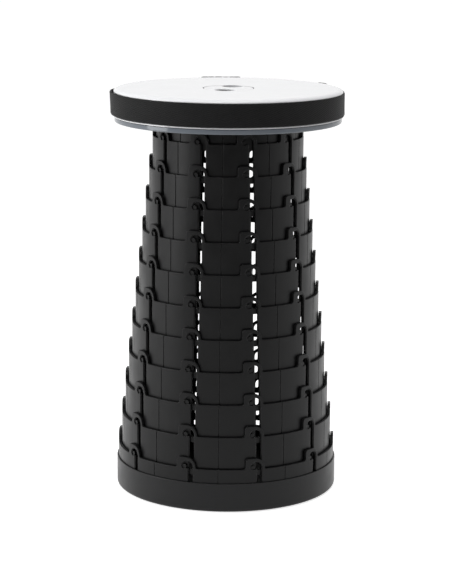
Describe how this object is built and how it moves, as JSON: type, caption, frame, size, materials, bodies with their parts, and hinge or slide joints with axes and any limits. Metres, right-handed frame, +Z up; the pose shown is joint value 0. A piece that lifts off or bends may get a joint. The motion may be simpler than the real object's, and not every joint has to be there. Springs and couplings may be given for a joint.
{
  "type": "collapsible telescopic stool",
  "caption": "Round telescopic stool: slotted rings nest in each other and hang on hooked pins, under a white disc seat with a webbing strap and two finger holes.",
  "frame": {"origin": "on the floor, on the axis of the rings", "axes": "+Z up along the axis; the front that the picture shows is towards -Y, and the strap's buckle is at +Y"},
  "size_m": [0.2576, 0.263, 0.45],
  "materials": {
    "ring_plastic": "charcoal black moulded plastic, fine satin",
    "base_plastic": "charcoal black moulded plastic, satin",
    "pad_rubber": "black rubber",
    "seat_plastic": "white glossy plastic",
    "cap_plastic": "white glossy plastic",
    "rim_plastic": "pale blue-grey glossy plastic",
    "cup_plastic": "dark grey plastic",
    "screw_steel": "zinc-plated steel",
    "strap_webbing": "black ribbed webbing",
    "buckle_plastic": "black acetal plastic"
  },
  "bodies": {
    "base": {"base_tray": "base_plastic", "base_pads": "pad_rubber", "ring_11": "ring_plastic"},
    "ring_10": {"ring_10": "ring_plastic"},
    "ring_09": {"ring_09": "ring_plastic"},
    "ring_08": {"ring_08": "ring_plastic"},
    "ring_07": {"ring_07": "ring_plastic"},
    "ring_06": {"ring_06": "ring_plastic"},
    "ring_05": {"ring_05": "ring_plastic"},
    "ring_04": {"ring_04": "ring_plastic"},
    "ring_03": {"ring_03": "ring_plastic"},
    "ring_02": {"ring_02": "ring_plastic"},
    "ring_01": {"ring_01": "ring_plastic"},
    "seat": {"top_ring": "ring_plastic", "seat_top": "seat_plastic", "seat_rim": "rim_plastic", "finger_cap": "cap_plastic", "finger_cup": "cup_plastic", "seat_screws": "screw_steel", "carry_strap": "strap_webbing", "buckle_socket": "buckle_plastic", "buckle_plug": "buckle_plastic", "strap_slider": "buckle_plastic"}
  },
  "joints": [
    {"name": "ring_10_slide", "type": "slide", "parent": "base", "child": "ring_10", "axis": [0, 0, 1], "range_m": [-0.0345, 0]},
    {"name": "ring_09_slide", "type": "slide", "parent": "ring_10", "child": "ring_09", "axis": [0, 0, 1], "range_m": [-0.0345, 0]},
    {"name": "ring_08_slide", "type": "slide", "parent": "ring_09", "child": "ring_08", "axis": [0, 0, 1], "range_m": [-0.0345, 0]},
    {"name": "ring_07_slide", "type": "slide", "parent": "ring_08", "child": "ring_07", "axis": [0, 0, 1], "range_m": [-0.0345, 0]},
    {"name": "ring_06_slide", "type": "slide", "parent": "ring_07", "child": "ring_06", "axis": [0, 0, 1], "range_m": [-0.0345, 0]},
    {"name": "ring_05_slide", "type": "slide", "parent": "ring_06", "child": "ring_05", "axis": [0, 0, 1], "range_m": [-0.0345, 0]},
    {"name": "ring_04_slide", "type": "slide", "parent": "ring_05", "child": "ring_04", "axis": [0, 0, 1], "range_m": [-0.0345, 0]},
    {"name": "ring_03_slide", "type": "slide", "parent": "ring_04", "child": "ring_03", "axis": [0, 0, 1], "range_m": [-0.0345, 0]},
    {"name": "ring_02_slide", "type": "slide", "parent": "ring_03", "child": "ring_02", "axis": [0, 0, 1], "range_m": [-0.0345, 0]},
    {"name": "ring_01_slide", "type": "slide", "parent": "ring_02", "child": "ring_01", "axis": [0, 0, 1], "range_m": [-0.0345, 0]},
    {"name": "seat_slide", "type": "slide", "parent": "ring_01", "child": "seat", "axis": [0, 0, 1], "range_m": [-0.0345, 0]}
  ]
}
